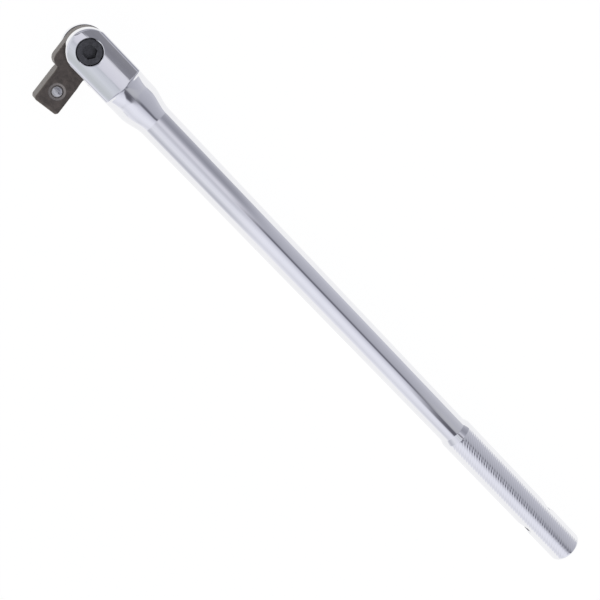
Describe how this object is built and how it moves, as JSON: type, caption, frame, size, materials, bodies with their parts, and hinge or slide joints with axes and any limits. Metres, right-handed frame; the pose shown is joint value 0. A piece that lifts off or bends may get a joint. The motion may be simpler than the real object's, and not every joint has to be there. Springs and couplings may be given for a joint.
{
  "type": "flex-head breaker bar",
  "caption": "Long chromed steel turning bar with a knurled round grip and a forked yoke, in which a black half-inch square drive head folds on a screw.",
  "frame": {"origin": "middle of the underside of the bounding box, with the far ear of the yoke on the surface", "axes": "+X along the handle from the head to the grip, +Z along the pivot screw and out of its head; the square drive points to -Y and leans 8.1 degrees towards +X at rest"},
  "size_m": [0.375, 0.0422, 0.022],
  "materials": {
    "chrome_plate": "polished bright chrome plate on forged steel",
    "black_phosphate": "satin black manganese phosphate on hardened steel",
    "black_oxide": "oiled black oxide",
    "bearing_steel": "ground bearing steel",
    "spring_steel": "drawn spring steel"
  },
  "bodies": {
    "handle": {"handle": "chrome_plate", "pivot_screw": "black_oxide", "thrust_washer": "spring_steel", "wave_washer": "spring_steel", "detent_spring": "spring_steel"},
    "drive_head": {"drive_head": "black_phosphate", "socket_ball_spring": "spring_steel"},
    "socket_ball": {"socket_ball": "bearing_steel"},
    "detent_ball": {"detent_ball": "bearing_steel"}
  },
  "joints": [
    {"name": "head_pivot", "type": "hinge", "parent": "handle", "child": "drive_head", "pos_m": [-0.1769, 0.01053, 0.011], "axis": [0, 0, 1], "range_deg": [-203.1, 6.9]},
    {"name": "socket_ball_press", "type": "slide", "parent": "drive_head", "child": "socket_ball", "axis": [0, 0, -1], "range_m": [0, 0.0011], "stiffness_N_per_m": 4000, "springref_m": -0.001, "deforming": ["socket_ball_spring"]},
    {"name": "detent_ball_press", "type": "slide", "parent": "handle", "child": "detent_ball", "axis": [1, 0, 0], "range_m": [0, 0.0003], "stiffness_N_per_m": 6000, "springref_m": -0.001}
  ]
}
